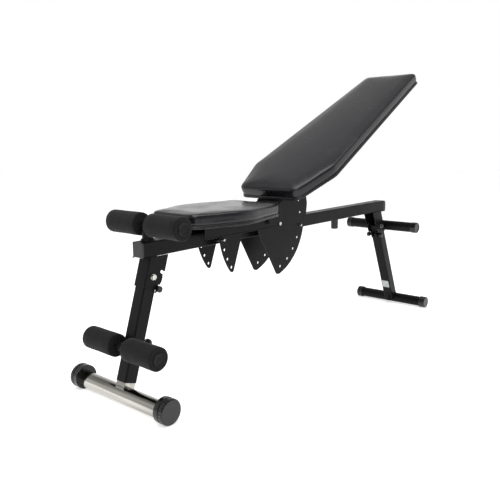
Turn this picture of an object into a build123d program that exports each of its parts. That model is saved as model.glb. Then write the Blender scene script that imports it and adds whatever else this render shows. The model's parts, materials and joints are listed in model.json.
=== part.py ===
from build123d import *
from math import cos, radians, sin
import os

os.makedirs("parts", exist_ok=True)

# Overall placement (mm). The frame origin is the floor point under the middle of the bench.
MID_Y = 632.7
BEAM_Z = 390.0
BEAM_TILT = 1.3

# Main beam
BEAM = 40.0
BEAM_WALL = 2.0
BEAM_LENGTH = 1222.0
FRONT_CAP = 4.0
REAR_CAP = 14.0

# Shared hinge of the seat and the backrest, measured along and above the beam
HINGE_Y = 458.6
HINGE_Z = 27.6
HINGE_BOLT_R = 6.0
HINGE_BORE_R = 6.05

# Adjustment pins
PIN_R = 4.0
PIN_BORE_R = 4.05
PIN_HOLE_R = 4.3
PIN_Z = -4.5
SEAT_PIN_Y = 260.1
BACK_PIN_Y = 617.3
SEAT_PITCH = 8.7
BACK_PITCH = 14.35
SLEEVE_HALF = 44.0

# Plate stack across the bench
BACK_PLATE_IN = 44.3
BACK_PLATE_OUT = 47.3
FIN_IN = 44.6
FIN_OUT = 47.6
SEAT_CHANNEL_HALF = 50.1
SHEET = 2.5

# Seat
SEAT_FRONT = 190.0
SEAT_WEB_END = 447.0
SEAT_REAR = 466.0
SEAT_EAR_END = 523.0
SEAT_FLANGE_Z = 5.0
SEAT_WEB_Z = 44.0
BOARD = 12.0
BOARD_INSET = 7.0
SEAT_PAD_TOP = 85.0
SEAT_OUTLINE = [(-86, 113), (86, 113), (142, 273), (92, SEAT_REAR), (-92, SEAT_REAR), (-142, 273)]
SEAT_CORNERS = [27, 27, 160, 20, 20, 160]

# Backrest, measured along (u) and square to (v) the pad from the hinge
RECLINE = 28.0
PAD_U = 79.3
PAD_BOTTOM = 21.5
PAD_TOP = 63.0
BACK_OUTLINE = [(-116, 0), (116, 0), (163, 153), (112, 868), (-112, 868), (-163, 153)]
BACK_CORNERS = [24, 24, 60, 20, 20, 60]
BACK_CHANNEL_U = 75.0
BACK_CHANNEL_END = 560.0
BACK_FLANGE = 20.0

# Legs
LEG = 38.0
LEG_WALL = 2.0
LEG_BOLT_R = 4.0
FRONT_PIVOT = (30.0, 319.0)
FRONT_SPLAY = 16.7
FRONT_LEG_LENGTH = 273.5
REAR_PIVOT = (1192.0, 338.0)
REAR_SPLAY = 23.9
REAR_FOOT_A = 347.9
REAR_FOOT_B = -5.4
REAR_FOOT_HALF = 156.0

# Leg brackets and leg locks (a = down the leg, b = towards the middle of the bench)
BRACKET_IN = 19.4
BRACKET_OUT = 21.4
BRACKET_DEPTH = 36.0
LOCK_A = 28.0
LOCK_B = 23.5
LOCK_TRAVEL = 8.0
LOCK_R = 4.0
LOCK_SLOT = 8.6
FOLD = 75.0

# Rollers
BAR_R = 12.5
FOAM_R = 30.0
FOAM_BORE = 12.58
TOP_ROLLER = (34.0, 61.0)
LOW_ROLLER_A = 187.6
LOW_ROLLER_B = -31.5

# Front foot
POST = 33.4
POST_WALL = 2.0
FOOT_A = 307.4
FOOT_TUBE_R = 22.5
FOOT_TUBE_HALF = 168.0
FOOT_CAP_R = 32.6
FOOT_CAP_IN = 156.8
FOOT_CAP_OUT = 186.8
POP_PIN_A = 174.0
POST_PITCH = 20.0

WORLD = Pos(0, -MID_Y, 0)
BEAM_AXES = WORLD * Pos(0, 0, BEAM_Z) * Rot(BEAM_TILT, 0, 0)
FRONT_AXES = WORLD * Pos(0, *FRONT_PIVOT) * Rot(-FRONT_SPLAY, 0, 0)
REAR_AXES = WORLD * Pos(0, *REAR_PIVOT) * Rot(REAR_SPLAY, 0, 0)
HINGE_WORLD_Y = HINGE_Y * cos(radians(BEAM_TILT)) - HINGE_Z * sin(radians(BEAM_TILT))
HINGE_WORLD_Z = BEAM_Z + HINGE_Y * sin(radians(BEAM_TILT)) + HINGE_Z * cos(radians(BEAM_TILT))
HINGE_AXES = WORLD * Pos(0, HINGE_WORLD_Y, HINGE_WORLD_Z)
BACK_AXES = HINGE_AXES * Rot(RECLINE, 0, 0)


def prism(face, x0, x1):
    """A flat outline drawn in (y, z) given thickness from x0 to x1."""
    return extrude(Plane.YZ.offset(x0) * face, amount=x1 - x0, dir=(1, 0, 0))


def pair(shape):
    """A shape and its mirror image on the other side of the bench."""
    return shape + mirror(shape, about=Plane.YZ)


def rod(radius, x0, x1, y=0.0, z=0.0):
    return prism(Pos(y, z) * Circle(radius), x0, x1)


def tube_x(outer, inner, x0, x1, y=0.0, z=0.0):
    return rod(outer, x0, x1, y, z) - rod(inner, x0, x1, y, z)


def block(x0, x1, y0, y1, z0, z1):
    size = (x1 - x0, y1 - y0, z1 - z0)
    return Pos((x0 + x1) / 2, (y0 + y1) / 2, (z0 + z1) / 2) * Box(*size)


def outline(points):
    return Polygon(*points, align=None)


def around(radius, degrees, centre=(0.0, 0.0)):
    """Point at an angle on a circle."""
    angle = radians(degrees)
    return (centre[0] + radius * cos(angle), centre[1] + radius * sin(angle))


def arc_points(radius, start, stop, count, centre=(0.0, 0.0)):
    step = (stop - start) / (count - 1)
    return [around(radius, start + i * step, centre) for i in range(count)]


def turned(profile, side):
    """Revolve an (x, radius) profile about the X axis; side = -1 mirrors it."""
    face = Polygon(*profile, align=None)
    solid = revolve(Plane.XY * face, Axis.X)
    return solid if side > 0 else mirror(solid, about=Plane.YZ)


def hex_head(x0, flats, height, y=0.0, z=0.0):
    head = prism(Pos(y, z) * RegularPolygon(flats / 2, 6, major_radius=False), x0, x0 + height)
    cone = rod(flats * 0.56, x0 - 1, x0 + height + 1, y, z)
    return head & cone


def slot(width, y0, z0, y1, z1):
    """A round-ended slot face between two points."""
    line = Line((y0, z0), (y1, z1))
    return SlotCenterToCenter(line.length, width).moved(
        Location(((y0 + y1) / 2, (z0 + z1) / 2, 0), (0, 0, line.tangent_angle_at(0)))
    )


def save(name, shape, place):
    placed = place * shape
    solids = placed.solids()
    body = solids[0] if len(solids) == 1 else Compound(children=list(solids))
    export_step(body, f"parts/{name}.step")


# ------------------------------------------------------------------ main beam
half = BEAM / 2
inner = half - BEAM_WALL
outer_face = fillet(Rectangle(BEAM, BEAM).vertices(), 3.0)
inner_face = fillet(Rectangle(BEAM - 2 * BEAM_WALL, BEAM - 2 * BEAM_WALL).vertices(), 1.5)
beam_plane = Plane.XZ.offset(-FRONT_CAP)
beam_run = BEAM_LENGTH - FRONT_CAP - REAR_CAP
beam = extrude(beam_plane * outer_face, amount=-beam_run)
beam_core = extrude(beam_plane * inner_face, amount=-beam_run)
beam = beam - beam_core
for pin_y in (SEAT_PIN_Y, BACK_PIN_Y):
    beam = beam - rod(7.0, -half - 1, half + 1, pin_y, PIN_Z)
save("main_beam", beam, BEAM_AXES)

plug = extrude(Plane.XZ.offset(-FRONT_CAP) * inner_face, amount=-14)
front_cap = extrude(Plane.XZ * outer_face, amount=-FRONT_CAP)
front_cap = chamfer(front_cap.faces().sort_by(Axis.Y)[0].edges(), 1.2) + plug
save("beam_cap_front", front_cap, BEAM_AXES)

rear_start = BEAM_LENGTH - REAR_CAP
rear_plug = extrude(Plane.XZ.offset(-rear_start + 14) * inner_face, amount=-14)
rear_block = extrude(Plane.XZ.offset(-rear_start) * outer_face, amount=-REAR_CAP)
dome = Pos(rear_start + REAR_CAP / 2, 0) * Rectangle(REAR_CAP, BEAM)
dome = fillet(dome.vertices().group_by(Axis.X)[-1].sort_by(Axis.Y)[-1], 12.0)
dome = fillet(dome.vertices().group_by(Axis.X)[-1].sort_by(Axis.Y)[0], 4.0)
rear_cap = (rear_block & prism(dome, -half, half)) + rear_plug
save("beam_cap_rear", rear_cap, BEAM_AXES)

# ------------------------------------------------ hinge and pin sleeves on the beam
hinge_sleeve = tube_x(9.5, HINGE_BORE_R, -SLEEVE_HALF, SLEEVE_HALF, HINGE_Y, HINGE_Z)
hinge_sleeve = hinge_sleeve - block(-60, 60, HINGE_Y - 20, HINGE_Y + 20, 0, half)
save("hinge_sleeve", hinge_sleeve, BEAM_AXES)

ear_out = SEAT_CHANNEL_HALF + 0.4
hinge_bolt = rod(HINGE_BOLT_R, -ear_out - 14, ear_out, HINGE_Y, HINGE_Z)
hinge_bolt = hinge_bolt + rod(11.5, ear_out, ear_out + 1.5, HINGE_Y, HINGE_Z)
hinge_bolt = hinge_bolt + hex_head(ear_out + 1.5, 19.0, 7.0, HINGE_Y, HINGE_Z)
save("hinge_bolt", hinge_bolt, BEAM_AXES)
hinge_nut = rod(11.5, -ear_out - 1.5, -ear_out, HINGE_Y, HINGE_Z)
hinge_nut = hinge_nut + hex_head(-ear_out - 11.5, 19.0, 10.0, HINGE_Y, HINGE_Z)
hinge_nut = hinge_nut - rod(HINGE_BOLT_R, -80, -40, HINGE_Y, HINGE_Z)
save("hinge_nut", hinge_nut, BEAM_AXES)

for name, pin_y in (("seat_pin_sleeve", SEAT_PIN_Y), ("back_pin_sleeve", BACK_PIN_Y)):
    sleeve = tube_x(7.0, PIN_BORE_R, -SLEEVE_HALF, SLEEVE_HALF, pin_y, PIN_Z)
    save(name, sleeve, BEAM_AXES)

bumper = Pos(0, 890, -half - 17) * Cylinder(12.5, 34)
bumper = chamfer(bumper.faces().sort_by(Axis.Z)[0].edges(), 2.0)
save("fold_bumper", bumper, BEAM_AXES)

# ------------------------------------------------------------- roller bar on top
post_y, bar_z = TOP_ROLLER
roller_post = Pos(0, post_y, (half + bar_z) / 2) * Cylinder(14.0, bar_z - half)
collar = Pos(0, post_y, half + 2) * Cylinder(17.5, 4.0)
roller_post = roller_post + collar - rod(BAR_R, -40, 40, post_y, bar_z)
save("roller_post", roller_post, BEAM_AXES)


def roller_bar(stop, end, y, z):
    bar = rod(BAR_R, -end, end, y, z)
    return bar + pair(rod(15.0, stop, stop + 3.0, y, z))


def bar_plugs(face, end, y, z):
    profile = [(end, 0), (end, BAR_R), (face + 0.4, BAR_R), (face + 0.4, 17.0), (face + 1.6, 17.0)]
    profile += [(face + 2.6, 16.0), (face + 2.6, 14.5), (face + 1.4, 12.0), (face + 1.4, 0)]
    return Pos(0, y, z) * pair(turned(profile, 1))


def foam(side, inside, outside, y, z):
    profile = [(inside, FOAM_BORE), (inside, FOAM_R - 2.5), (inside + 2.5, FOAM_R)]
    profile += [(outside - 2.5, FOAM_R), (outside, FOAM_R - 2.5), (outside, FOAM_BORE)]
    return Pos(0, y, z) * turned(profile, side)


save("top_roller_bar", roller_bar(15.5, 128.0, post_y, bar_z), BEAM_AXES)
save("top_bar_plugs", bar_plugs(136.0, 128.0, post_y, bar_z), BEAM_AXES)
save("top_roller_right", foam(1, 19.0, 136.0, post_y, bar_z), BEAM_AXES)
save("top_roller_left", foam(-1, 19.0, 136.0, post_y, bar_z), BEAM_AXES)

# ------------------------------------------------------------------ leg brackets
lock_in = LOCK_A - LOCK_TRAVEL
lock_pivot_r = (lock_in**2 + LOCK_B**2) ** 0.5
PLATE_R = 32.2


def folded(a, b, angle):
    """Turn a leg point (a down, b inward) about the leg pivot by a folding angle."""
    ca = cos(radians(angle))
    sa = sin(radians(angle))
    return (a * ca - b * sa, a * sa + b * ca)


def bracket(beam_angle, beam_drop):
    """U-shaped leg bracket; the beam's underside cuts its top at beam_angle."""
    top_left = (-BRACKET_OUT, beam_drop - BRACKET_OUT * sin(radians(beam_angle)) + 20)
    top_right = (BRACKET_DEPTH, beam_drop + 60)
    far_a, far_b = folded(lock_in, LOCK_B, FOLD)
    edge_a = far_a + (BRACKET_DEPTH - far_b) * 0.268
    points = [(-BRACKET_OUT, top_left[1]), top_right, (BRACKET_DEPTH, -edge_a)]
    points += [(far_b, -far_a), (8.0, 0.0), (0.0, -PLATE_R), (-BRACKET_OUT, -30.0)]
    face = outline(points) + (Circle(PLATE_R) & Pos(30, 0) * Rectangle(101, 100))
    near_b, near_a = LOCK_B, lock_in
    face = face - slot(LOCK_SLOT, near_b, -near_a, near_b, -near_a - 30)
    out_a = far_a + 30 * cos(radians(FOLD))
    out_b = far_b + 30 * sin(radians(FOLD))
    face = face - slot(LOCK_SLOT, far_b, -far_a, out_b, -out_a)
    face = face - Circle(LEG_BOLT_R)
    body = pair(prism(face, BRACKET_IN, BRACKET_OUT))
    web = block(-BRACKET_OUT, BRACKET_OUT, -BRACKET_OUT, -BRACKET_IN, -30.0, top_left[1])
    cut = Rot(beam_angle, 0, 0) * block(-60, 60, -200, 200, beam_drop, beam_drop + 300)
    envelope = Pos(0, 30) * Rectangle(2 * BRACKET_OUT, 60 + 2 * BRACKET_OUT)
    envelope = fillet(envelope.vertices().group_by(Axis.Y)[0], 3.0)
    bent = (body + web) & extrude(Plane.XY.offset(-100) * envelope, amount=300)
    return bent - cut


c_tilt = cos(radians(BEAM_TILT))
s_tilt = sin(radians(BEAM_TILT))
front_drop = -half - (-FRONT_PIVOT[0] * s_tilt + (FRONT_PIVOT[1] - BEAM_Z) * c_tilt)
rear_drop = -half - (-REAR_PIVOT[0] * s_tilt + (REAR_PIVOT[1] - BEAM_Z) * c_tilt)
save("front_bracket", bracket(FRONT_SPLAY + BEAM_TILT, front_drop), FRONT_AXES)
rear_bracket = mirror(bracket(REAR_SPLAY - BEAM_TILT, rear_drop), about=Plane.XZ)
save("rear_bracket", rear_bracket, REAR_AXES)

for name, place in (("front_leg_bolt", FRONT_AXES), ("rear_leg_bolt", REAR_AXES)):
    bolt = rod(LEG_BOLT_R, -BRACKET_OUT - 11, BRACKET_OUT)
    bolt = bolt + rod(8.0, BRACKET_OUT, BRACKET_OUT + 1.2) + hex_head(BRACKET_OUT + 1.2, 13.0, 5.3)
    save(name, bolt, place)
for name, place in (("front_leg_nut", FRONT_AXES), ("rear_leg_nut", REAR_AXES)):
    nut = rod(8.0, -BRACKET_OUT - 1.2, -BRACKET_OUT) + hex_head(-BRACKET_OUT - 9.2, 13.0, 8.0)
    save(name, nut - rod(LEG_BOLT_R, -60, 0), place)

# ------------------------------------------------------------- rear carrying handle
handle_b, handle_a = 38.5, 17.6
handle = tube_x(19.0, 17.0, -146.0, 146.0, handle_b, -handle_a)
handle = handle - block(-60, 60, 0, BRACKET_OUT, -60, 60)
save("rear_handle", handle, REAR_AXES)
cap_points = [(132, 19), (132, 20), (133, 20.5), (151.5, 20.5), (153, 19), (153, 15), (151.5, 13), (151.5, 0)]
handle_cap = turned(cap_points + [(146, 0), (146, 19)], 1)
save("handle_caps", Pos(0, handle_b, -handle_a) * pair(handle_cap), REAR_AXES)

# ------------------------------------------------------------------------ legs
leg_half = LEG / 2
leg_core = leg_half - LEG_WALL


def leg_tube(length):
    face = Pos(0, -length / 2) * Rectangle(LEG, length) + Circle(leg_half)
    shell = prism(face, -leg_half, leg_half)
    edges = shell.edges().filter_by(Axis.Z)
    shell = fillet(edges, 4.0)
    shell = shell - block(-leg_core, leg_core, -leg_core, leg_core, -length - 1, 40)
    return shell - rod(8.0, -40, 40)


def lock_guides():
    """Two slotted lugs that guide a lock bar along the inner face of a leg."""
    lug = LOCK_B + 9
    face = outline([(leg_half, -12), (lug - 4, -12), (lug, -16), (lug, -36), (lug - 4, -40), (leg_half, -40)])
    top = -(lock_in - LOCK_SLOT / 2)
    bottom = -(LOCK_A + 4 + LOCK_SLOT / 2)
    gap = LOCK_B + LOCK_SLOT / 2
    face = face - Pos((leg_half + gap) / 2, (top + bottom) / 2) * Rectangle(gap - leg_half, top - bottom)
    return pair(prism(face, 8.0, 11.0))


front_leg = leg_tube(FRONT_LEG_LENGTH)
front_leg = front_leg - Pos(0, leg_half - 1, -POP_PIN_A) * Rot(90, 0, 0) * Cylinder(4.3, 8)
save("front_leg_tube", front_leg, FRONT_AXES)
bush = tube_x(8.0, LEG_BOLT_R + 0.05, -leg_half, leg_half)
save("front_leg_bush", bush, FRONT_AXES)
save("front_lock_guides", lock_guides(), FRONT_AXES)

low_bar = roller_bar(19.2, 129.0, LOW_ROLLER_B, -LOW_ROLLER_A)
saddle = block(-16, 16, LOW_ROLLER_B, -leg_half, -LOW_ROLLER_A - 8, -LOW_ROLLER_A + 8)
save("lower_roller_bar", low_bar + saddle, FRONT_AXES)
save("lower_bar_plugs", bar_plugs(137.0, 129.0, LOW_ROLLER_B, -LOW_ROLLER_A), FRONT_AXES)
save("lower_roller_right", foam(1, 22.7, 137.0, LOW_ROLLER_B, -LOW_ROLLER_A), FRONT_AXES)
save("lower_roller_left", foam(-1, 22.7, 137.0, LOW_ROLLER_B, -LOW_ROLLER_A), FRONT_AXES)

boss_end = 29.7
boss_mid = Pos(0, (leg_half + boss_end) / 2, -POP_PIN_A) * Rot(90, 0, 0)
boss = boss_mid * Cylinder(8.0, boss_end - leg_half) - boss_mid * Cylinder(4.05, 14)
save("pop_pin_boss", boss, FRONT_AXES)
shank = Pos(0, 20.5, -POP_PIN_A) * Rot(90, 0, 0) * Cylinder(4.0, 23)
save("pop_pin", shank, FRONT_AXES)
knob_points = [(0, 30), (7, 30), (7, 38), (12, 40), (13.5, 44), (12.5, 50), (8, 53), (0, 53)]
knob = revolve(Plane.XY * outline(knob_points), Axis.Y)
knob = knob - Pos(0, 30, 0) * Rot(90, 0, 0) * Cylinder(4.0, 4)
save("pop_pin_knob", Pos(0, 0, -POP_PIN_A) * knob, FRONT_AXES)

# ------------------------------------------------------------------- front foot
post_top = 48.0
post_half = POST / 2
foot_post = block(-post_half, post_half, -post_half, post_half, -FOOT_A, -post_top)
core = post_half - POST_WALL
foot_post = foot_post - block(-core, core, -core, core, -FOOT_A - 1, -post_top + 1)
for i in range(7):
    hole = Pos(0, post_half, -(POP_PIN_A - i * POST_PITCH)) * Rot(90, 0, 0) * Cylinder(4.3, 8)
    foot_post = foot_post - hole


def in_front_leg(y, z):
    """A point given along the floor and above it, in the front leg's own (y, z)."""
    dy = y - FRONT_PIVOT[0]
    dz = z - FRONT_PIVOT[1]
    ca = cos(radians(FRONT_SPLAY))
    sa = sin(radians(FRONT_SPLAY))
    return (dy * ca - dz * sa, dy * sa + dz * ca)


ty, tz = in_front_leg(-58.0, 24.5)
cy, cz = in_front_leg(-62.0, FOOT_CAP_R)
foot_post = foot_post - rod(FOOT_TUBE_R, -40, 40, ty, tz)
save("foot_post", foot_post, FRONT_AXES)
foot_tube = tube_x(FOOT_TUBE_R, FOOT_TUBE_R - 2, -FOOT_TUBE_HALF, FOOT_TUBE_HALF, ty, tz)
save("front_foot_tube", foot_tube, FRONT_AXES)

cap_profile = [(FOOT_CAP_IN, 0), (FOOT_CAP_IN, 31.4), (158, FOOT_CAP_R), (170, FOOT_CAP_R)]
cap_profile += [(171.5, 30), (174, 30), (175.5, FOOT_CAP_R), (184, FOOT_CAP_R)]
cap_profile += [(FOOT_CAP_OUT, 29.5), (FOOT_CAP_OUT, 0)]
foot_cap = Pos(0, cy, cz) * turned(cap_profile, 1)
foot_cap = foot_cap - rod(FOOT_TUBE_R, FOOT_CAP_IN - 1, FOOT_TUBE_HALF, ty, tz)
for i in range(24):
    flute_y, flute_z = around(FOOT_CAP_R + 0.7, i * 15 - 7.5 + FRONT_SPLAY, (cy, cz))
    foot_cap = foot_cap - rod(1.6, 175.5, 188, flute_y, flute_z)
save("front_foot_caps", pair(foot_cap), FRONT_AXES)

# --------------------------------------------------------------------- rear leg
rear_leg = leg_tube(REAR_FOOT_A)
foot_b = -REAR_FOOT_B
rear_leg = rear_leg - rod(19.0, -40, 40, foot_b, -REAR_FOOT_A)
save("rear_leg_tube", rear_leg, REAR_AXES)
save("rear_leg_bush", bush, REAR_AXES)
save("rear_lock_guides", mirror(lock_guides(), about=Plane.XZ), REAR_AXES)
rear_foot = tube_x(19.0, 17.0, -150, 150, foot_b, -REAR_FOOT_A)
save("rear_foot_tube", rear_foot, REAR_AXES)
rear_cap = turned([(132, 19), (132, 21), (133, 22), (154, 22), (156, 20), (156, 0), (150, 0), (150, 19)], 1)
save("rear_foot_caps", Pos(0, foot_b, -REAR_FOOT_A) * pair(rear_cap), REAR_AXES)
gusset_face = outline([(-leg_half, -305), (-leg_half, -347), (-26, -347)])
gusset_solid = prism(gusset_face, -6, 6) - rod(19.0, -40, 40, foot_b, -REAR_FOOT_A)
save("rear_foot_gusset", gusset_solid, REAR_AXES)

# -------------------------------------------------------------------- leg locks
lock_bar = rod(LOCK_R, -31.0, 31.0, LOCK_B, -LOCK_A)
lock_knob = turned([(22.4, 4), (22.4, 7), (24, 8.5), (31, 8.5), (33, 6.5), (33, 0), (31, 0), (31, 4)], 1)
lock_knobs = Pos(0, LOCK_B, -LOCK_A) * pair(lock_knob)
for name, place, side in (("front", FRONT_AXES, 1), ("rear", REAR_AXES, -1)):
    bar = lock_bar if side > 0 else mirror(lock_bar, about=Plane.XZ)
    knobs = lock_knobs if side > 0 else mirror(lock_knobs, about=Plane.XZ)
    save(f"{name}_lock_bar", bar, place)
    save(f"{name}_lock_knobs", knobs, place)

# ------------------------------------------------------------------------- seat
screw_spots = [(-32, 225), (32, 225), (-32, 405), (32, 405)]


def screws(spots, under, top):
    """Pan-head screws from below, through a web, into a board."""
    group = []
    for x, y in spots:
        head = Pos(x, y, under - 1.7) * Cylinder(6.5, 3.4)
        head = chamfer(head.faces().sort_by(Axis.Z)[0].edges(), 1.0)
        group.append(head + Pos(x, y, (under + top) / 2) * Cylinder(3.0, top - under))
    return Compound(children=group)


def screw_holes(spots, z0, z1):
    holes = [Pos(x, y, (z0 + z1) / 2) * Cylinder(3.0, z1 - z0) for x, y in spots]
    return holes


ears_face = outline(
    [
        (SEAT_FRONT + 3, SEAT_FLANGE_Z),
        (SEAT_EAR_END - 12, SEAT_FLANGE_Z),
        (SEAT_EAR_END, SEAT_FLANGE_Z + 10),
        (SEAT_EAR_END - 6, 70),
        (SEAT_REAR + 7, 70),
        (SEAT_REAR + 3, 66),
        (SEAT_REAR + 3, SEAT_WEB_Z),
        (SEAT_FRONT, SEAT_WEB_Z),
        (SEAT_FRONT, SEAT_FLANGE_Z + 3),
    ]
)
ears_face = ears_face - Pos(HINGE_Y, HINGE_Z) * Circle(HINGE_BORE_R)
ears_face = ears_face - Pos(511, 12) * Circle(3.0)
seat_channel = pair(prism(ears_face, SEAT_CHANNEL_HALF - SHEET, SEAT_CHANNEL_HALF))
web = block(-SEAT_CHANNEL_HALF, SEAT_CHANNEL_HALF, SEAT_FRONT, SEAT_WEB_END, SEAT_WEB_Z - SHEET, SEAT_WEB_Z)
seat_channel = seat_channel + web
for hole in screw_holes(screw_spots, 30, 60):
    seat_channel = seat_channel - hole
save("seat_channel", seat_channel, BEAM_AXES)

HINGE = (HINGE_Y, HINGE_Z)
fin_points = arc_points(212.0, 179.3, 216.0, 14, HINGE)
fin_points += [(299.5, -109.0), (334.7, -15.6), (345, 5), (350, 30)]
fin_face = outline(fin_points)
fin_face = fillet(fin_face.vertices().sort_by(Axis.Y)[0], 7.0)
for i in range(4):
    hole_y, hole_z = around(201.07, 189.19 + i * SEAT_PITCH, HINGE)
    fin_face = fin_face - Pos(hole_y, hole_z) * Circle(PIN_HOLE_R)
fins = pair(prism(fin_face, FIN_IN, FIN_OUT))
save("seat_lock_plates", fins, BEAM_AXES)


def pad_face(points, corners, inset=0.0):
    """A pad's outline with its own radius at each corner, moved inwards by inset."""
    face = outline(points)
    for (x, y), radius in zip(points, corners):
        corner = face.vertices().sort_by_distance((x, y, 0))[0]
        face = fillet(corner, radius)
    return offset(face, -inset) if inset else face


board = extrude(Plane.XY.offset(SEAT_WEB_Z) * pad_face(SEAT_OUTLINE, SEAT_CORNERS, BOARD_INSET), amount=BOARD)
seat_face = pad_face(SEAT_OUTLINE, SEAT_CORNERS)
pad = extrude(Plane.XY.offset(SEAT_WEB_Z) * seat_face, amount=SEAT_PAD_TOP - SEAT_WEB_Z)
pad = pad - board
for hole in screw_holes(screw_spots, 40, 52):
    board = board - hole
save("seat_board", board, BEAM_AXES)
save("seat_pad", pad, BEAM_AXES)
seat_screws = screws(screw_spots, SEAT_WEB_Z - SHEET, 52)
save("seat_screws", seat_screws, BEAM_AXES)
ear_bolt = rod(3.0, 47.6, SEAT_CHANNEL_HALF, 511, 12) + hex_head(SEAT_CHANNEL_HALF, 10.0, 4.0, 511, 12)
save("ear_bolts", pair(ear_bolt), BEAM_AXES)

# --------------------------------------------------------------------- backrest
lobe = [(-15, 3), (-30, -8), (-46, -26), (44, -172)]
lobe += arc_points(182.0, -72.0, -11.5, 16)
lobe += [(194, 7), (198, 40), (190, 71), (171, 110), (50.5, 45.4), (53, 25.5), (18.5, 1.5)]
lobe += arc_points(15.0, 4.0, 150.0, 10)
lobe_face = outline(lobe)
lobe_face = fillet(lobe_face.vertices().sort_by(Axis.Y)[0:2].sort_by(Axis.X)[0], 11.0)
lobe_face = fillet(lobe_face.vertices().sort_by(Axis.X)[0], 6.0)
lobe_face = lobe_face - Circle(HINGE_BORE_R)
for i in range(7):
    hole_y, hole_z = around(161.9, -11.43 + BEAM_TILT + (2 - i) * BACK_PITCH)
    lobe_face = lobe_face - Pos(hole_y, hole_z) * Circle(PIN_HOLE_R)
save("back_lock_plates", pair(prism(lobe_face, BACK_PLATE_IN, BACK_PLATE_OUT)), HINGE_AXES)

back_spots = [(-28, 110), (28, 110), (-28, 300), (28, 300), (-28, 520), (28, 520)]
half_back = BACK_PLATE_IN
back_drop = PAD_BOTTOM - BACK_FLANGE
back_channel = block(-half_back, half_back, BACK_CHANNEL_U, BACK_CHANNEL_END, back_drop, PAD_BOTTOM)
hollow_half = half_back - SHEET
back_channel = back_channel - block(
    -hollow_half, hollow_half, BACK_CHANNEL_U - 1, BACK_CHANNEL_END + 1, -5, PAD_BOTTOM - SHEET
)
for hole in screw_holes(back_spots, 10, 30):
    back_channel = back_channel - hole
save("back_channel", back_channel, BACK_AXES)

back_shift = Pos(0, PAD_U, 0)
back_board = back_shift * extrude(
    Plane.XY.offset(PAD_BOTTOM) * pad_face(BACK_OUTLINE, BACK_CORNERS, BOARD_INSET), amount=BOARD
)
back_pad = back_shift * extrude(
    Plane.XY.offset(PAD_BOTTOM) * pad_face(BACK_OUTLINE, BACK_CORNERS), amount=PAD_TOP - PAD_BOTTOM
)
back_pad = back_pad - back_board
for hole in screw_holes(back_spots, 15, PAD_BOTTOM + 8):
    back_board = back_board - hole
save("back_board", back_board, BACK_AXES)
save("back_pad", back_pad, BACK_AXES)
back_screws = screws(back_spots, PAD_BOTTOM - SHEET, PAD_BOTTOM + 8)
save("back_screws", back_screws, BACK_AXES)

# --------------------------------------------------------------- adjustment pins
for name, pin_y in (("seat_pin", SEAT_PIN_Y), ("back_pin", BACK_PIN_Y)):
    pin = rod(PIN_R, -70.0, 56.0, pin_y, PIN_Z)
    pin = chamfer(pin.faces().sort_by(Axis.X)[-1].edges(), 1.2)
    save(name, pin, BEAM_AXES)
    grip = [(52, PIN_R), (52, 8), (56, 9), (60, 12), (76, 12.5), (80, 10), (80, 0), (70, 0), (70, PIN_R)]
    save(f"{name}_knob", Pos(0, pin_y, PIN_Z) * turned(grip, -1), BEAM_AXES)
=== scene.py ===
import json
from math import cos, pi, radians, sin, tan

import bmesh
import bpy
from mathutils import Matrix, Vector
from mathutils.kdtree import KDTree


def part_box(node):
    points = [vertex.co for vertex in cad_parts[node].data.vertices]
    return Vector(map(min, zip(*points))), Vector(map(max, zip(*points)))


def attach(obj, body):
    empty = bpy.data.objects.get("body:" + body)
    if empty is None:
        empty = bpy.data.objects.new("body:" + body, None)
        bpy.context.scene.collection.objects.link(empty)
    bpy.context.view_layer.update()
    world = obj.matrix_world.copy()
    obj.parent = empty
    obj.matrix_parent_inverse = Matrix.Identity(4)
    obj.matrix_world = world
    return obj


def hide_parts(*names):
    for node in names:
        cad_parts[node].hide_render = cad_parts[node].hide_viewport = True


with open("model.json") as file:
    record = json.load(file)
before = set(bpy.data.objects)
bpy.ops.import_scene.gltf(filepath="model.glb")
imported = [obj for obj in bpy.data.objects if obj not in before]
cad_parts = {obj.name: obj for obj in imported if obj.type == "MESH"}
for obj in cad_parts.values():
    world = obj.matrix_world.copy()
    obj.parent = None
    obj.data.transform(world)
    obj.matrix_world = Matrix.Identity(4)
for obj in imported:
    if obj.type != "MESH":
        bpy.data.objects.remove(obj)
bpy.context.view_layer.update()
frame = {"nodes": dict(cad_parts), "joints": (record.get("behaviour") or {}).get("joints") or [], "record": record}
NODES = frame["nodes"]
JOINTS = {j["name"]: j for j in frame["joints"]}
HINGE = Vector(JOINTS["backrest_recline"]["pos_m"])
FRONT_PIVOT = Vector(JOINTS["front_leg_fold"]["pos_m"])
REAR_PIVOT = Vector(JOINTS["rear_leg_fold"]["pos_m"])

MM = Matrix.Scale(0.001, 4)
TILT = radians(1.3)
RECLINE = radians(28.0)


def axes_at(point, angle):
    """Matrix from millimetres in a tilted local frame to the row frame."""
    return Matrix.Translation(point) @ Matrix.Rotation(angle, 4, "X") @ MM


hinge_local = Vector((0, 458.6, 27.6))
BEAM = axes_at(HINGE, TILT) @ Matrix.Translation(-hinge_local)
BACK = axes_at(HINGE, RECLINE)
FRONT = axes_at(FRONT_PIVOT, radians(-16.7))
REAR = axes_at(REAR_PIVOT, radians(23.9))


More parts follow.
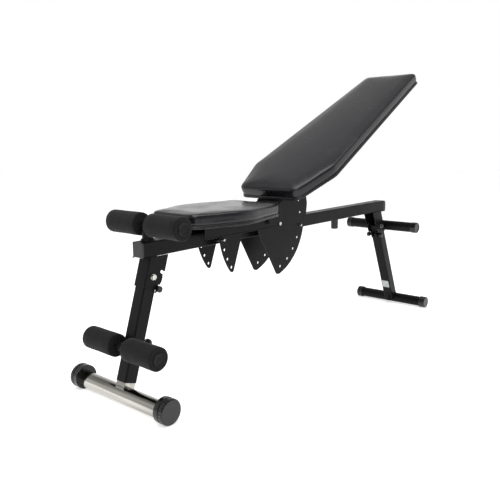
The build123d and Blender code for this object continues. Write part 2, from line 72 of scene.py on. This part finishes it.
# ---------------------------------------------------------------- materials
class Shade:
    """Small helper that builds one procedural material."""

    def __init__(self, name, color, rough, metallic=0.0, specular=0.5):
        self.mat = bpy.data.materials.new(name)
        self.mat.use_nodes = True
        self.tree = self.mat.node_tree
        self.bsdf = self.tree.nodes["Principled BSDF"]
        self.bsdf.inputs["Base Color"].default_value = (*color, 1)
        self.bsdf.inputs["Roughness"].default_value = rough
        self.bsdf.inputs["Metallic"].default_value = metallic
        self.bsdf.inputs["Specular IOR Level"].default_value = specular
        self.coords = self.node("ShaderNodeTexCoord").outputs["Object"]
        self.height = None

    def node(self, kind, **values):
        made = self.tree.nodes.new(kind)
        for key, value in values.items():
            setattr(made, key, value)
        return made

    def link(self, a, b):
        self.tree.links.new(a, b)

    def noise(self, scale, detail=3.0, rough=0.5, stretch=None):
        made = self.node("ShaderNodeTexNoise")
        made.inputs["Scale"].default_value = scale
        made.inputs["Detail"].default_value = detail
        made.inputs["Roughness"].default_value = rough
        if stretch:
            mapping = self.node("ShaderNodeMapping")
            mapping.inputs["Scale"].default_value = stretch
            self.link(self.coords, mapping.inputs["Vector"])
            self.link(mapping.outputs[0], made.inputs["Vector"])
        else:
            self.link(self.coords, made.inputs["Vector"])
        return made.outputs["Fac"]

    def cells(self, scale):
        made = self.node("ShaderNodeTexVoronoi", feature="DISTANCE_TO_EDGE")
        made.inputs["Scale"].default_value = scale
        self.link(self.coords, made.inputs["Vector"])
        return made.outputs["Distance"]

    def ramp(self, source, stops):
        made = self.node("ShaderNodeValToRGB")
        elements = made.color_ramp.elements
        while len(elements) < len(stops):
            elements.new(0.5)
        for element, (place, color) in zip(elements, stops):
            element.position = place
            element.color = (*color, 1)
        self.link(source, made.inputs[0])
        return made.outputs[0]

    def spread(self, source, low, high, start=0.35, stop=0.65):
        made = self.node("ShaderNodeMapRange")
        made.inputs["From Min"].default_value = start
        made.inputs["From Max"].default_value = stop
        made.inputs["To Min"].default_value = low
        made.inputs["To Max"].default_value = high
        self.link(source, made.inputs["Value"])
        return made.outputs[0]

    def colors(self, source, stops):
        self.link(self.ramp(source, stops), self.bsdf.inputs["Base Color"])

    def worn_and_highlit_edges(self, base, wear_and_highlight_color, radius, amount):
        """Lighter edges, part rubbed-through wear and part painted highlight; the bevel normal also makes the
        edges catch the light.
        """
        bevel = self.node("ShaderNodeBevel", samples=4)
        bevel.inputs["Radius"].default_value = radius
        self.height = bevel.outputs[0]
        geometry = self.node("ShaderNodeNewGeometry")
        turn = self.node("ShaderNodeVectorMath", operation="DOT_PRODUCT")
        self.link(bevel.outputs[0], turn.inputs[0])
        self.link(geometry.outputs["Normal"], turn.inputs[1])
        mix = self.node("ShaderNodeMix", data_type="RGBA")
        wear_and_highlight_mask = self.node("ShaderNodeMath", operation="MULTIPLY")
        self.link(self.spread(turn.outputs["Value"], amount, 0, 0.80, 0.99), wear_and_highlight_mask.inputs[0])
        self.link(self.spread(self.noise(70, 4), 0.0, 1.0, 0.42, 0.66), wear_and_highlight_mask.inputs[1])
        self.link(wear_and_highlight_mask.outputs[0], mix.inputs["Factor"])
        self.link(base, mix.inputs["A"])
        mix.inputs["B"].default_value = (*wear_and_highlight_color, 1)
        self.link(mix.outputs["Result"], self.bsdf.inputs["Base Color"])

    def roughness(self, source, low, high):
        self.link(self.spread(source, low, high), self.bsdf.inputs["Roughness"])

    def bump(self, source, strength, distance):
        made = self.node("ShaderNodeBump")
        made.inputs["Strength"].default_value = strength
        made.inputs["Distance"].default_value = distance
        self.link(source, made.inputs["Height"])
        if self.height:
            self.link(self.height, made.inputs["Normal"])
        self.height = made.outputs["Normal"]
        self.link(self.height, self.bsdf.inputs["Normal"])


def steel_black():
    s = Shade("powder_coated_steel", (0.005, 0.005, 0.005), 0.38, specular=0.12)
    base = s.ramp(s.noise(7, 4), [(0.3, (0.0035, 0.0035, 0.0036)), (0.7, (0.0062, 0.0062, 0.0064))])
    # The lighter edges are part worn-through coat and part painted highlight.
    s.worn_and_highlit_edges(base, (0.11, 0.11, 0.11), 0.0012, 0.9)
    s.roughness(s.noise(30, 4), 0.30, 0.42)
    s.bump(s.noise(650, 2), 0.10, 0.0006)
    s.bump(s.noise(2600, 1), 0.06, 0.0002)
    return s.mat


def zinc():
    s = Shade("zinc_plated_steel", (0.6, 0.59, 0.56), 0.32, metallic=1.0)
    stops = [(0.3, (0.42, 0.42, 0.40)), (0.55, (0.63, 0.62, 0.59)), (0.8, (0.72, 0.70, 0.62))]
    s.colors(s.noise(60, 5), stops)
    s.roughness(s.noise(140, 4), 0.24, 0.42)
    s.bump(s.noise(900, 3), 0.1, 0.0002)
    return s.mat


def chrome():
    s = Shade("chrome_plate", (0.72, 0.72, 0.73), 0.07, metallic=1.0)
    # The dark and light streaks in the base colour are painted reflections, stretched along the tube; the
    # roughness and bump streaks stand for the drawn finish.
    painted_reflection_streaks = s.noise(26, 4, stretch=(0.06, 1.5, 1.5))
    stops = [(0.3, (0.12, 0.11, 0.10)), (0.46, (0.36, 0.35, 0.32)), (0.64, (0.56, 0.55, 0.51))]
    s.colors(painted_reflection_streaks, stops)
    s.roughness(s.noise(40, 5, stretch=(0.2, 3, 3)), 0.06, 0.18)
    s.bump(s.noise(500, 2, stretch=(0.1, 1, 1)), 0.02, 0.0001)
    return s.mat


def foam():
    s = Shade("closed_cell_foam", (0.008, 0.008, 0.008), 0.85, specular=0.12)
    stops = [(0.35, (0.0045, 0.0045, 0.0045)), (0.65, (0.011, 0.011, 0.0115))]
    s.colors(s.noise(420, 4, 0.7), stops)
    s.bsdf.inputs["Sheen Weight"].default_value = 0.10
    s.bsdf.inputs["Sheen Roughness"].default_value = 0.5
    s.roughness(s.noise(50, 3), 0.78, 0.92)
    s.bump(s.cells(900), 0.35, 0.0004)
    s.bump(s.noise(60, 4), 0.25, 0.0010)
    return s.mat


def plastic():
    s = Shade("moulded_plastic", (0.006, 0.006, 0.006), 0.22, specular=0.45)
    stops = [(0.3, (0.0045, 0.0044, 0.0043)), (0.7, (0.0080, 0.0078, 0.0076))]
    base = s.ramp(s.noise(25, 3), stops)
    # The lighter edges are part wear and part painted highlight.
    s.worn_and_highlit_edges(base, (0.04, 0.04, 0.04), 0.0010, 0.5)
    s.roughness(s.noise(120, 3), 0.14, 0.26)
    s.bump(s.noise(1500, 3), 0.15, 0.0003)
    return s.mat


def plug_plastic():
    s = Shade("plug_plastic", (0.005, 0.005, 0.005), 0.5, specular=0.16)
    stops = [(0.3, (0.0040, 0.0040, 0.0040)), (0.7, (0.0070, 0.0070, 0.0070))]
    base = s.ramp(s.noise(40, 3), stops)
    # The light rims are part scuffing and part painted highlight arcs.
    s.worn_and_highlit_edges(base, (0.22, 0.22, 0.22), 0.0007, 0.9)
    s.roughness(s.noise(120, 3), 0.42, 0.6)
    s.bump(s.noise(700, 3), 0.2, 0.0003)
    return s.mat


def vinyl():
    s = Shade("black_vinyl", (0.008, 0.008, 0.010), 0.24, specular=0.40)
    s.colors(s.noise(5, 5), [(0.3, (0.0065, 0.0065, 0.0085)), (0.7, (0.0105, 0.0105, 0.0130))])
    s.roughness(s.noise(16, 5), 0.18, 0.28)
    s.bump(s.cells(520), 0.16, 0.0004)
    s.bump(s.noise(1400, 2), 0.08, 0.0002)
    s.bump(s.noise(9, 3), 0.20, 0.0030)
    return s.mat


def piping_vinyl():
    s = Shade("vinyl_piping", (0.009, 0.009, 0.010), 0.34, specular=0.34)
    s.colors(s.noise(40, 3), [(0.3, (0.007, 0.007, 0.008)), (0.7, (0.012, 0.012, 0.014))])
    s.roughness(s.noise(60, 3), 0.28, 0.40)
    s.bump(s.noise(500, 3), 0.15, 0.0004)
    return s.mat


def board():
    s = Shade("painted_plywood", (0.02, 0.018, 0.016), 0.7, specular=0.15)
    grain = s.noise(18, 6, 0.6, stretch=(14, 1, 14))
    s.colors(grain, [(0.35, (0.010, 0.009, 0.008)), (0.65, (0.026, 0.022, 0.018))])
    s.roughness(grain, 0.62, 0.8)
    s.bump(grain, 0.25, 0.0006)
    return s.mat


def label_film():
    s = Shade("blank_label_film", (0.5, 0.5, 0.5), 0.4)
    s.colors(s.noise(200, 3), [(0.35, (0.36, 0.37, 0.38)), (0.6, (0.55, 0.56, 0.57))])
    s.roughness(s.noise(90, 3), 0.3, 0.5)
    s.bump(s.noise(300, 2), 0.1, 0.0002)
    return s.mat


MATS = {
    "steel_black": steel_black(),
    "zinc": zinc(),
    "chrome": chrome(),
    "foam": foam(),
    "plastic": plastic(),
    "vinyl": vinyl(),
    "plywood": board(),
}
PIPING = piping_vinyl()
LABEL = label_film()
PLUG = plug_plastic()

# ------------------------------------------------- materials on the CAD nodes
for part in frame["record"]["subparts"]:
    node = NODES[part["node"]]
    node.data.materials.clear()
    node.data.materials.append(PLUG if "plugs" in part["node"] else MATS[part["material_slot"]])


# ------------------------------------------------------------- mesh helpers
def make_object(name, verts, faces, mat, matrix=None, smooth=True):
    mesh = bpy.data.meshes.new(name)
    mesh.from_pydata([tuple(v) for v in verts], [], faces)
    bm = bmesh.new()
    bm.from_mesh(mesh)
    bmesh.ops.remove_doubles(bm, verts=bm.verts, dist=1e-5)
    bmesh.ops.recalc_face_normals(bm, faces=bm.faces)
    bm.to_mesh(mesh)
    bm.free()
    if matrix is not None:
        mesh.transform(matrix)
    for polygon in mesh.polygons:
        polygon.use_smooth = smooth
    mesh.materials.append(mat)
    made = bpy.data.objects.new(name, mesh)
    bpy.context.scene.collection.objects.link(made)
    return made


def lathe_x(name, profile, centre, mat, steps=96, wobble=0.0):
    """Turns a closed (x, radius) profile in millimetres about a line along X."""
    verts = []
    faces = []
    count = len(profile)
    for i in range(steps):
        angle = 2 * pi * i / steps
        for j, (x, r) in enumerate(profile):
            rr = r + wobble * sin(3 * angle + j * 0.9) * (1 if r > 20 else 0)
            verts.append((x, rr * cos(angle), rr * sin(angle)))
    for i in range(steps):
        for j in range(count):
            a = i * count + j
            b = i * count + (j + 1) % count
            c = ((i + 1) % steps) * count + (j + 1) % count
            d = ((i + 1) % steps) * count + j
            faces.append((a, b, c, d))
    place = Matrix.Translation(centre) @ MM
    return make_object(name, verts, faces, mat, place)


def bead(name, points, radius, body, matrix, cyclic=False, mat=None, step=2.2, ripple=0.16):
    """A round bead along a path given in millimetres; ripple is that of a weld."""
    path = [Vector(p) for p in points]
    if cyclic:
        path.append(path[0])
    fine = []
    for a, b in zip(path, path[1:]):
        n = max(1, int((b - a).length / step))
        fine += [a.lerp(b, i / n) for i in range(n)]
    if not cyclic:
        fine.append(path[-1])
    curve = bpy.data.curves.new(name, "CURVE")
    curve.dimensions = "3D"
    curve.bevel_depth = radius * 0.001
    curve.bevel_resolution = 3
    curve.use_fill_caps = True
    spline = curve.splines.new("POLY")
    spline.points.add(len(fine) - 1)
    for i, (point, p) in enumerate(zip(spline.points, fine)):
        point.co = (*(matrix @ p), 1)
        point.radius = 1.0 + ripple * (1 if i % 2 else -1)
    spline.use_cyclic_u = cyclic
    path_object = bpy.data.objects.new(name, curve)
    bpy.context.scene.collection.objects.link(path_object)
    depsgraph = bpy.context.evaluated_depsgraph_get()
    mesh = bpy.data.meshes.new_from_object(path_object.evaluated_get(depsgraph))
    bpy.data.objects.remove(path_object)
    mesh.name = name
    mesh.materials.clear()
    mesh.materials.append(mat or MATS["steel_black"])
    for polygon in mesh.polygons:
        polygon.use_smooth = True
    made = bpy.data.objects.new(name, mesh)
    bpy.context.scene.collection.objects.link(made)
    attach(made, body)
    return made


def circle_path(centre, radius, plane, count=28):
    """Points round a circle; plane names the two axes it lies in."""
    i, j = ("xyz".index(c) for c in plane)
    out = []
    for k in range(count):
        p = list(centre)
        p[i] += radius * cos(2 * pi * k / count)
        p[j] += radius * sin(2 * pi * k / count)
        out.append(p)
    return out


# ---------------------------------------------------------------------- pads
PUFF_CAP = 0.0020
PUFF_PRESSURE = 4.0
PUFF_FRAMES = 20
PUFF_VOXEL = 0.005
HELD_BELOW = 0.012
SMOOTHING = 6
NEAREST = 6


def rounded(points, corners, inset, per_corner=9, per_edge=24):
    """A polygon moved inwards with its corners rounded, as a fixed number of points."""
    count = len(points)
    pts = [Vector(p) for p in points]
    normals = []
    for i in range(count):
        d = (pts[(i + 1) % count] - pts[i]).normalized()
        normals.append(Vector((-d.y, d.x)))
    moved = []
    for i in range(count):
        n0 = normals[i - 1]
        n1 = normals[i]
        bis = (n0 + n1) / (1 + n0.dot(n1))
        moved.append(pts[i] + bis * inset)
    reaches = []
    for i in range(count):
        a = (moved[i - 1] - moved[i]).normalized()
        b = (moved[(i + 1) % count] - moved[i]).normalized()
        reaches.append(max(corners[i] - 0.25 * inset, 4.0) / tan(a.angle(b) / 2))
    ring = []
    for i in range(count):
        p = moved[i]
        following = moved[(i + 1) % count]
        start = p + (moved[i - 1] - p).normalized() * reaches[i]
        stop = p + (following - p).normalized() * reaches[i]
        for k in range(per_corner):
            t = k / (per_corner - 1)
            ring.append(start * (1 - t) ** 2 + p * 2 * t * (1 - t) + stop * t**2)
        end = following + (p - following).normalized() * reaches[(i + 1) % count]
        ring += [stop.lerp(end, k / (per_edge + 1)) for k in range(1, per_edge + 1)]
    return ring


def pad_shell(points, corners, profile, crown, spine_gap):
    """Lofted cushion: side rings from the profile, then a crowned top and a flat base."""
    rings = []
    for inset, z in profile:
        rings.append([(p.x, p.y, z) for p in rounded(points, corners, inset)])
    ys = [p[1] for p in points]
    low, high = min(ys) + spine_gap, max(ys) - spine_gap
    edge = rings[-1]
    for k in range(1, 11):
        t = k / 10
        lift = crown * (1 - (1 - t) ** 2.2)
        ring = []
        for x, y, z in edge:
            target = min(max(y, low), high)
            ring.append((x * (1 - t), y + (target - y) * t, z + lift))
        rings.append(ring)
    base = rings[0]
    for t in (0.5, 1.0):
        ring = []
        for x, y, z in base:
            target = min(max(y, low), high)
            ring.append((x * (1 - t), y + (target - y) * t, z))
        rings.insert(0, ring)
    verts = [v for ring in rings for v in ring]
    n = len(edge)
    faces = []
    for r in range(len(rings) - 1):
        for i in range(n):
            j = (i + 1) % n
            faces.append((r * n + i, r * n + j, (r + 1) * n + j, (r + 1) * n + i))
    return verts, faces


def puff(obj):
    """Cloth pressure on an even copy of the cushion; its smoothed swelling is kept in the mesh."""
    proxy = bpy.data.objects.new("proxy", obj.data.copy())
    scene = bpy.context.scene
    scene.collection.objects.link(proxy)
    remesh = proxy.modifiers.new("even", "REMESH")
    remesh.mode = "VOXEL"
    remesh.voxel_size = PUFF_VOXEL
    depsgraph = bpy.context.evaluated_depsgraph_get()
    even = bpy.data.meshes.new_from_object(proxy.evaluated_get(depsgraph))
    proxy.modifiers.clear()
    proxy.data = even
    rest = [v.co.copy() for v in even.vertices]
    held = proxy.vertex_groups.new(name="held")
    held.add([i for i, p in enumerate(rest) if p.z < HELD_BELOW], 1.0, "REPLACE")
    cloth = proxy.modifiers.new("cloth", "CLOTH")
    settings = cloth.settings
    settings.vertex_group_mass = "held"
    settings.use_pressure = True
    settings.uniform_pressure_force = PUFF_PRESSURE
    settings.effector_weights.gravity = 0.0
    settings.tension_stiffness = 15
    settings.compression_stiffness = 15
    settings.bending_stiffness = 2.0
    settings.quality = 4
    cloth.point_cache.frame_start = 1
    cloth.point_cache.frame_end = PUFF_FRAMES
    for f in range(1, PUFF_FRAMES + 1):
        scene.frame_set(f)
    depsgraph = bpy.context.evaluated_depsgraph_get()
    moved = proxy.evaluated_get(depsgraph).to_mesh()
    swell = [v.co - start for v, start in zip(moved.vertices, rest)]
    proxy.evaluated_get(depsgraph).to_mesh_clear()
    scene.frame_set(1)
    around = [[] for _ in rest]
    for edge in even.edges:
        i, j = edge.vertices
        around[i].append(j)
        around[j].append(i)
    for _ in range(SMOOTHING):
        before = swell
        swell = []
        for step, near in zip(before, around):
            swell.append(sum((before[j] for j in near), step) / (len(near) + 1))
    tree = KDTree(len(rest))
    for i, p in enumerate(rest):
        tree.insert(p, i)
    tree.balance()
    for v in obj.data.vertices:
        nearest = tree.find_n(v.co, NEAREST)
        weights = [1 / (gap + 0.001) for _, _, gap in nearest]
        step = Vector((0, 0, 0))
        for (_, i, _), weight in zip(nearest, weights):
            step += swell[i] * (weight / sum(weights))
        if step.length > PUFF_CAP:
            step *= PUFF_CAP / step.length
        v.co += step
    obj.data.update()
    bpy.data.objects.remove(proxy)


def build_pad(name, points, corners, base_z, thick, crown, node, body, matrix, spine_gap):
    """An upholstered pad: cushion, edge roll, piping and the turned-under border."""
    profile = [(9, 0), (4.8, 0.4), (3.0, 2.0), (2.4, 4.3), (3.0, 6.6), (5.4, 8.4), (5.6, 9.4)]
    profile += [(3.4, 11.2), (2.4, 15), (2.0, 20), (2.0, thick - 12), (2.3, thick - 8.5)]
    profile += [(3.2, thick - 5.5), (4.9, thick - 3.1), (7.6, thick - 1.5)]
    profile += [(11.5, thick - 0.5), (17, thick)]
    verts, faces = pad_shell(points, corners, profile, crown, spine_gap)
    cushion = make_object(f"{name}_cushion", verts, faces, MATS["vinyl"], MM)
    puff(cushion)
    place = matrix @ Matrix.Translation((0, 0, base_z))
    cushion.data.transform(place @ MM.inverted())
    smooth = cushion.modifiers.new("fine", "SUBSURF")
    smooth.levels = 1
    smooth.render_levels = 1
    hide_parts(node)
    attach(cushion, body)
    for label, inset, z, r in (("lower_piping", 3.6, 1.7, 1.9), ("groove_seam", 5.6, 9.0, 0.9)):
        ring = rounded(points, corners, inset, 12, 30)
        cord_path = [(p.x, p.y, z) for p in ring]
        roll = bead(f"{name}_{label}", cord_path, r, body, place, True, PIPING, 6.0, 0.0)
    outer = rounded(points, corners, 8)
    inner = rounded(points, corners, 30)
    rim = []
    for p in outer:
        rim.append((p.x, p.y, -0.2))
    for i, p in enumerate(inner):
        rim.append((p.x, p.y, -0.2 - 0.5 * (i % 3 == 0)))
    n = len(outer)
    quads = [(i, (i + 1) % n, n + (i + 1) % n, n + i) for i in range(n)]
    border = make_object(f"{name}_turned_border", rim, quads, PIPING, place)
    thickness = border.modifiers.new("thick", "SOLIDIFY")
    thickness.thickness = 0.0008
    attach(border, body)
    staples(name, rounded(points, corners, 20, 3, 4), body, place)


STAPLE_FACES = [(0, 1, 2, 3), (4, 7, 6, 5), (0, 4, 5, 1), (1, 5, 6, 2), (2, 6, 7, 3), (3, 7, 4, 0)]


def staples(name, ring, body, place):
    """Wire staples that hold the turned-under border to the board."""
    verts = []
    faces = []
    n = len(ring)
    for i in range(n):
        a = ring[i]
        b = ring[(i + 1) % n]
        if (b - a).length < 9:
            continue
        d = (b - a).normalized()
        s = Vector((-d.y, d.x))
        m = (a + b) / 2
        base = len(verts)
        for along, across, z in (
            (-5, -0.5, -0.9), (5, -0.5, -0.9), (5, 0.5, -0.9), (-5, 0.5, -0.9),
            (-4.6, -0.3, -1.7), (4.6, -0.3, -1.7), (4.6, 0.3, -1.7), (-4.6, 0.3, -1.7),
        ):
            p = m + d * along + s * across
            verts.append((p.x, p.y, z))
        for q in STAPLE_FACES:
            faces.append(tuple(base + k for k in q))
    made = make_object(f"{name}_staples", verts, faces, MATS["zinc"], place, smooth=False)
    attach(made, body)


SEAT = [(-86, 113), (86, 113), (142, 273), (92, 466), (-92, 466), (-142, 273)]
SEAT_CORNERS = [30, 30, 160, 22, 22, 160]
BACKREST = [(-116, 0), (116, 0), (163, 153), (112, 868), (-112, 868), (-163, 153)]
BACKREST_CORNERS = [32, 32, 75, 24, 24, 75]
SEAT_BASE, SEAT_THICK, SEAT_CROWN = 44.0, 39.2, 1.2
BACKREST_BASE, BACKREST_THICK, BACKREST_CROWN = 21.5, 39.5, 3.0
BACKREST_PLACE = BACK @ Matrix.Translation((0, 79.3, 0))
seat_size = (SEAT_BASE, SEAT_THICK, SEAT_CROWN)
back_size = (BACKREST_BASE, BACKREST_THICK, BACKREST_CROWN)
build_pad("seat", SEAT, SEAT_CORNERS, *seat_size, "seat_pad", "seat", BEAM, 95)
build_pad(
    "back", BACKREST, BACKREST_CORNERS, *back_size, "back_pad", "backrest", BACKREST_PLACE, 100
)


# ------------------------------------------------------------------- rollers
FOAM_RADIUS = 30.0


def roller(node, body, side, inside, outside):
    low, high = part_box(node)
    centre = Vector((0, (low[1] + high[1]) / 2, (low[2] + high[2]) / 2))
    profile = [(inside, 12.9), (inside - 0.2, 15), (inside + 0.6, 20), (inside + 0.3, 25.5)]
    for k in range(6):
        a = pi / 2 * k / 5
        profile.append((inside + 3.5 - 3.2 * cos(a), 26.8 + 3.2 * sin(a)))
    for t in (0.2, 0.4, 0.6, 0.8):
        profile.append((inside + (outside - inside) * t, FOAM_RADIUS + 0.25 * sin(9 * t)))
    for k in range(6):
        a = pi / 2 * k / 5
        profile.append((outside - 3.5 + 3.2 * sin(a), 26.8 + 3.2 * cos(a)))
    profile += [(outside - 0.3, 25.5), (outside - 0.6, 20), (outside + 0.1, 15), (outside, 12.9)]
    profile = [(side * x, r) for x, r in profile]
    made = lathe_x(f"{node}_foam", profile, centre, MATS["foam"], wobble=0.15)
    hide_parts(node)
    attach(made, body)


for row, span in (("top", (19, 136)), ("lower", (22.7, 137))):
    for word, side in (("right", 1), ("left", -1)):
        name = f"{row}_roller_{word}"
        roller(name, name, side, *span)

# --------------------------------------------------------------------- welds
for side, word in ((1, "right"), (-1, "left")):
    for name, y in (("seat", 260.1), ("back", 617.3)):
        ring = circle_path((side * 20.3, y, -4.5), 7.4, "yz")
        bead(f"weld_{name}_sleeve_{word}", ring, 1.5, "frame", BEAM, True)
    line = [(side * 20.7, -1, -20.4), (side * 20.7, 45, -20.4)]
    bead(f"weld_front_bracket_{word}", line, 1.6, "frame", BEAM)
    line = [(side * 20.7, 1154, -20.4), (side * 20.7, 1217, -20.4)]
    bead(f"weld_rear_bracket_{word}", line, 1.6, "frame", BEAM)
    line = [(side * 50.4, 194, 5.6), (side * 50.4, 510, 5.6), (side * 50.4, 522, 15.5)]
    bead(f"seat_flange_lip_{word}", line, 1.1, "seat", BEAM, step=6.0, ripple=0.0)
    line = [(side * 46, 92, -0.5), (side * 46, 170, -0.5)]
    bead(f"weld_back_plate_{word}", line, 1.3, "backrest", BACK)
    line = [(-15, -19.4, -187.6 + side * 8.6), (15, -19.4, -187.6 + side * 8.6)]
    bead(f"weld_lower_bar_{word}", line, 1.8, "front_leg", FRONT)
bead("weld_roller_post", circle_path((0, 34, 24.3), 14.6, "xy"), 1.8, "frame", BEAM, True)
bead("weld_roller_collar", circle_path((0, 34, 20.4), 17.8, "xy"), 1.3, "frame", BEAM, True)
for side, word in ((1, "front"), (-1, "rear")):
    line = [(-19, 458.6 - side * 9.4, 20.6), (19, 458.6 - side * 9.4, 20.6)]
    bead(f"weld_hinge_sleeve_{word}", line, 1.7, "frame", BEAM)
    line = [(-15, side * 16.8, -288), (15, side * 16.8, -288)]
    bead(f"weld_foot_post_{word}", line, 1.8, "foot", FRONT, mat=MATS["chrome"])
for name, z in (("upper", -8), ("lower", -27)):
    line = [(-20, 22.1, z), (20, 22.1, z)]
    bead(f"weld_handle_{name}", line, 1.6, "frame", REAR)
for side, word in ((1, "right"), (-1, "left")):
    line = [(side * 19.3, -13, -330.5), (side * 19.3, 0, -328.6), (side * 19.3, 16, -331.5)]
    bead(f"weld_rear_foot_{word}", line, 1.7, "rear_leg", REAR)

# ---------------------------------------------------------------- blank label
sticker = rounded([(-15, -16), (15, -16), (15, 16), (-15, 16)], [3, 3, 3, 3], 0, 5, 2)
face = [(p.x, -19.2, p.y - 268) for p in sticker]
label = make_object("blank_label", face, [tuple(range(len(face)))], LABEL, REAR, smooth=False)
film = label.modifiers.new("film", "SOLIDIFY")
film.thickness = 0.0003
film.offset = 0
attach(label, "rear_leg")

# -------------------------------------------------------------------- staging
bm = bmesh.new()
bmesh.ops.create_grid(bm, x_segments=8, y_segments=8, size=14)
floor_mesh = bpy.data.meshes.new("floor")
bm.to_mesh(floor_mesh)
bm.free()
floor = bpy.data.objects.new("floor", floor_mesh)
bpy.context.scene.collection.objects.link(floor)
floor_shade = Shade("floor_paper", (0.93, 0.93, 0.93), 0.9, specular=0.1)
paper = [(0.3, (0.925, 0.925, 0.925)), (0.7, (0.935, 0.935, 0.935))]
floor_shade.colors(floor_shade.noise(3, 2), paper)
floor_shade.bsdf.inputs["Emission Color"].default_value = (1, 1, 1, 1)
floor_shade.bsdf.inputs["Emission Strength"].default_value = 0.58
floor_mesh.materials.append(floor_shade.mat)

world = bpy.data.worlds.new("studio")
world.use_nodes = True
sky = world.node_tree
direction = sky.nodes.new("ShaderNodeTexCoord")
toward = sky.nodes.new("ShaderNodeVectorMath")
toward.operation = "DOT_PRODUCT"
toward.inputs[1].default_value = (-0.66, 0.75, 0.15)
fade = sky.nodes.new("ShaderNodeMapRange")
fade.interpolation_type = "SMOOTHSTEP"
fade.inputs["From Min"].default_value = -0.60
fade.inputs["From Max"].default_value = 0.35
fade.inputs["To Min"].default_value = 0.30
fade.inputs["To Max"].default_value = 1.0
sky.links.new(direction.outputs["Generated"], toward.inputs[0])
sky.links.new(toward.outputs["Value"], fade.inputs["Value"])
overhead = sky.nodes.new("ShaderNodeSeparateXYZ")
dim = sky.nodes.new("ShaderNodeMapRange")
dim.interpolation_type = "SMOOTHSTEP"
dim.inputs["From Min"].default_value = 0.30
dim.inputs["From Max"].default_value = 0.75
dim.inputs["To Min"].default_value = 1.0
dim.inputs["To Max"].default_value = 0.42
both = sky.nodes.new("ShaderNodeMath")
both.operation = "MULTIPLY"
sky.links.new(direction.outputs["Generated"], overhead.inputs[0])
sky.links.new(overhead.outputs["Z"], dim.inputs["Value"])
sky.links.new(fade.outputs[0], both.inputs[0])
sky.links.new(dim.outputs[0], both.inputs[1])
seen = sky.nodes.new("ShaderNodeLightPath")
backdrop = sky.nodes.new("ShaderNodeMath")
backdrop.operation = "MAXIMUM"
sky.links.new(both.outputs[0], backdrop.inputs[0])
sky.links.new(seen.outputs["Is Camera Ray"], backdrop.inputs[1])
sky.links.new(backdrop.outputs[0], sky.nodes["Background"].inputs[0])
bpy.context.scene.world = world


def area_light(name, place, aim, size, power):
    data = bpy.data.lights.new(name, "AREA")
    data.shape = "RECTANGLE"
    data.size, data.size_y = size
    data.energy = power
    made = bpy.data.objects.new(name, data)
    made.location = place
    made.rotation_euler = (Vector(aim) - Vector(place)).to_track_quat("-Z", "Y").to_euler()
    bpy.context.scene.collection.objects.link(made)


area_light("key", (1.6, -2.6, 3.2), (0, 0, 0.4), (2.0, 2.0), 40)
area_light("top", (0.2, -0.4, 3.4), (0, 0, 0.3), (3.0, 3.0), 75)

camera_data = bpy.data.cameras.new("camera")
camera_data.sensor_width = 36.0
camera_data.lens = 44.06
camera = bpy.data.objects.new("camera", camera_data)
camera.location = (1.2148, -1.5879, 0.6469)
camera.rotation_euler = (radians(90 - 9.58), 0, radians(41.26))
bpy.context.scene.collection.objects.link(camera)
bpy.context.scene.camera = camera
bpy.context.scene.view_settings.view_transform = "Standard"
